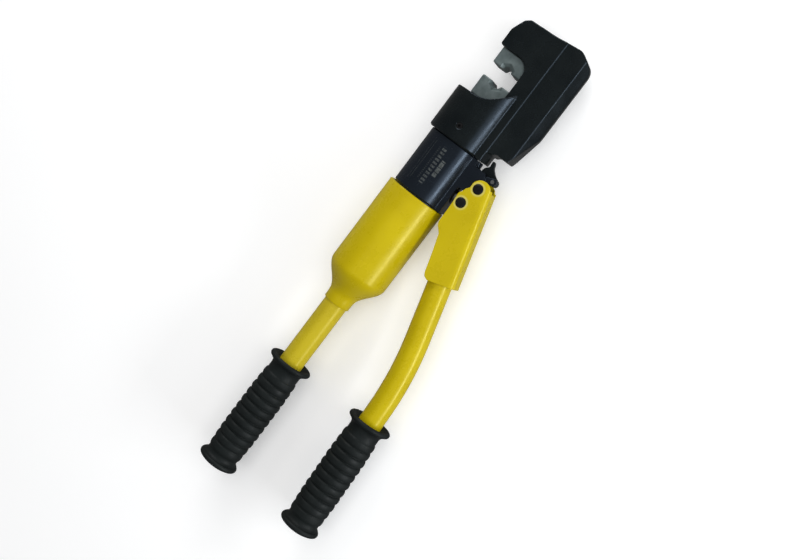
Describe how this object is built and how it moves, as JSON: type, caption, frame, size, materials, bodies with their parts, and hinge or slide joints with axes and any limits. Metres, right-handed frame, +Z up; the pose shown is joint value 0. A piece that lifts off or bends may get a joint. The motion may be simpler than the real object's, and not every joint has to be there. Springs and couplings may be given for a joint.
{
  "type": "crimping tool",
  "caption": "Hand-pumped hydraulic crimping tool with a swivelling C-head, hexagon dies, an oil reservoir in the fixed handle and a long moving pump handle.",
  "frame": {"origin": "centre of the bounding box's bottom face, with the tool lying flat on the plane of its handles", "axes": "+X along the cylinder towards the C-head, +Y towards the open side of the C, +Z up along the handle pivots"},
  "size_m": [0.5523, 0.1634, 0.0662],
  "materials": {
    "yellow_paint": "gloss",
    "black_paint": "satin",
    "cylinder_paint": "satin",
    "grip_rubber": "matte",
    "black_steel": "satin",
    "bright_steel": "polished",
    "die_steel": "satin",
    "valve_brass": "satin",
    "seal_rubber": "matte"
  },
  "bodies": {
    "body": {"cylinder_body": "cylinder_paint", "reservoir_shell": "yellow_paint", "reservoir_o_ring": "seal_rubber", "oil_bladder": "seal_rubber", "bladder_clamp": "bright_steel", "filler_plug": "seal_rubber", "suction_strainer": "valve_brass", "inlet_valve_ball": "bright_steel", "inlet_valve_spring": "bright_steel", "outlet_valve_ball": "bright_steel", "outlet_valve_spring": "bright_steel", "outlet_valve_cap": "valve_brass", "relief_valve_ball": "bright_steel", "relief_valve_spring": "bright_steel", "relief_valve_screw": "valve_brass", "release_lever_pin": "bright_steel", "pump_gland": "black_steel", "plunger_seal": "seal_rubber", "fixed_handle_tube": "yellow_paint", "fixed_handle_grip": "grip_rubber", "fulcrum_pin": "black_steel", "fulcrum_pin_circlip": "black_steel", "head_retaining_ring": "bright_steel", "ram_gland": "bright_steel"},
    "head": {"c_head": "black_paint", "head_set_screw": "black_steel", "upper_die": "die_steel", "upper_die_detent": "bright_steel"},
    "ram": {"ram": "bright_steel", "piston_seal": "seal_rubber", "lower_die": "die_steel", "lower_die_detent": "bright_steel", "return_spring": "bright_steel"},
    "moving_handle": {"handle_bracket": "yellow_paint", "moving_handle_tube": "yellow_paint", "moving_handle_grip": "grip_rubber", "drive_pin": "black_steel", "drive_pin_circlip": "black_steel"},
    "plunger": {"plunger": "bright_steel"},
    "release_lever": {"release_lever": "black_paint"},
    "release_valve": {"release_valve_pin": "black_steel", "release_valve_ball": "bright_steel", "release_valve_spring": "bright_steel"}
  },
  "joints": [
    {"name": "head_swivel", "type": "hinge", "parent": "body", "child": "head", "pos_m": [0.1339, 0.0486, 0.0331], "axis": [1, 0, 0], "range_deg": [-90, 90]},
    {"name": "ram_stroke", "type": "slide", "parent": "head", "child": "ram", "axis": [1, 0, 0], "range_m": [0, 0.0143], "stiffness_N_per_m": 1500, "springref_m": -0.012, "deforming": ["return_spring"]},
    {"name": "handle_pump", "type": "hinge", "parent": "body", "child": "moving_handle", "pos_m": [0.1113, -0.0007, 0.0331], "axis": [0, 0, 1], "range_deg": [-8, 28]},
    {"name": "plunger_stroke", "type": "slide", "parent": "body", "child": "plunger", "axis": [0, -1, 0], "range_m": [-0.0031, 0.0104]},
    {"name": "release_press", "type": "hinge", "parent": "body", "child": "release_lever", "pos_m": [0.1252, -0.006, 0.0331], "axis": [0, 0, 1], "range_deg": [0, 5], "stiffness_Nm_per_rad": 0.5, "springref_deg": -8.59},
    {"name": "release_valve_slide", "type": "slide", "parent": "body", "child": "release_valve", "axis": [-1, 0, 0], "range_m": [0, 0.0014], "deforming": ["release_valve_spring"]}
  ],
  "couplings": [
    {"joint": "plunger_stroke", "follows": "handle_pump", "m_per_rad": 0.0207},
    {"joint": "release_valve_slide", "follows": "release_press", "m_per_rad": 0.0151}
  ]
}
